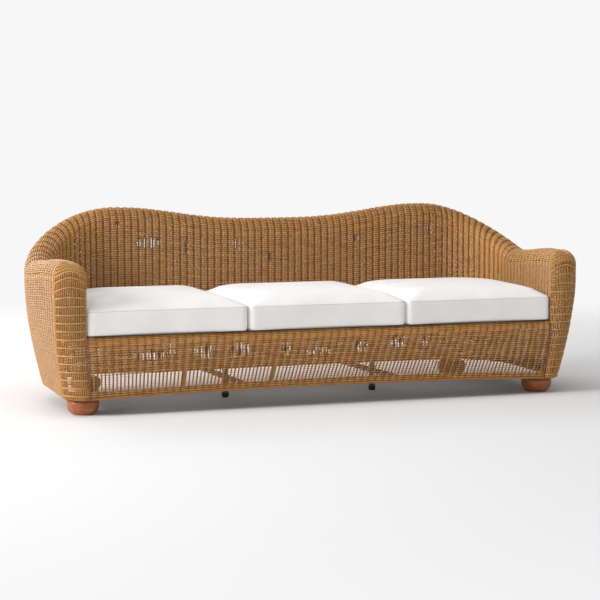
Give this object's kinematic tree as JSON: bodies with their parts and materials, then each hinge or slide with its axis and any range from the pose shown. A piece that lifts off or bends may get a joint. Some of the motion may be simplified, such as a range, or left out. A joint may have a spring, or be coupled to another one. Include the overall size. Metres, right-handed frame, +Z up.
{
  "type": "rattan garden sofa",
  "caption": "Woven rattan garden sofa with a rolled camel back and arms, turned bun feet and loose white seat cushions.",
  "frame": {"origin": "middle of the footprint at floor level", "axes": "+X along the seat to the sitter's left, which is the right-hand side from the front, +Y towards the back of the sofa, +Z up"},
  "size_m": [2.43, 0.887, 0.835],
  "materials": {
    "wicker": "matte",
    "frame_paint": "satin",
    "foot_wood": "satin",
    "bolt_zinc": "satin",
    "glide_plastic": "matte",
    "cushion_fabric": "matte"
  },
  "bodies": {
    "sofa_body": {"back_inner_weave": "wicker", "back_outer_weave": "wicker", "back_post_1": "frame_paint", "back_post_2": "frame_paint", "back_post_3": "frame_paint", "base_rail": "frame_paint", "front_apron_weave": "wicker", "front_base_rail": "frame_paint", "front_left_foot": "foot_wood", "front_left_foot_bolt": "bolt_zinc", "front_left_foot_plate": "frame_paint", "front_right_foot": "foot_wood", "front_right_foot_bolt": "bolt_zinc", "front_right_foot_plate": "frame_paint", "front_seat_rail": "frame_paint", "left_arm_front_weave": "wicker", "left_arm_hoop": "frame_paint", "left_arm_post": "frame_paint", "left_centre_leg": "frame_paint", "left_centre_leg_glide": "glide_plastic", "left_corner_post": "frame_paint", "left_front_low_rail": "frame_paint", "left_inner_weave": "wicker", "left_outer_weave": "wicker", "left_rear_low_rail": "frame_paint", "rear_left_foot": "foot_wood", "rear_left_foot_bolt": "bolt_zinc", "rear_left_foot_plate": "frame_paint", "rear_right_foot": "foot_wood", "rear_right_foot_bolt": "bolt_zinc", "rear_right_foot_plate": "frame_paint", "right_arm_front_weave": "wicker", "right_arm_hoop": "frame_paint", "right_arm_post": "frame_paint", "right_centre_leg": "frame_paint", "right_centre_leg_glide": "glide_plastic", "right_corner_post": "frame_paint", "right_front_low_rail": "frame_paint", "right_inner_weave": "wicker", "right_outer_weave": "wicker", "right_rear_low_rail": "frame_paint", "seat_cross_rail_1": "frame_paint", "seat_cross_rail_2": "frame_paint", "seat_cross_rail_3": "frame_paint", "seat_cross_rail_4": "frame_paint", "seat_deck": "wicker", "seat_rail": "frame_paint", "top_rail": "frame_paint"},
    "left_cushion_body": {"left_cushion": "cushion_fabric"},
    "middle_cushion_body": {"middle_cushion": "cushion_fabric"},
    "right_cushion_body": {"right_cushion": "cushion_fabric"}
  },
  "joints": [
    {"name": "left_cushion_lift", "type": "slide", "parent": "sofa_body", "child": "left_cushion_body", "axis": [0, 0, 1], "range_m": [0, 0.52]},
    {"name": "middle_cushion_lift", "type": "slide", "parent": "sofa_body", "child": "middle_cushion_body", "axis": [0, 0, 1], "range_m": [0, 0.52]},
    {"name": "right_cushion_lift", "type": "slide", "parent": "sofa_body", "child": "right_cushion_body", "axis": [0, 0, 1], "range_m": [0, 0.52]}
  ]
}
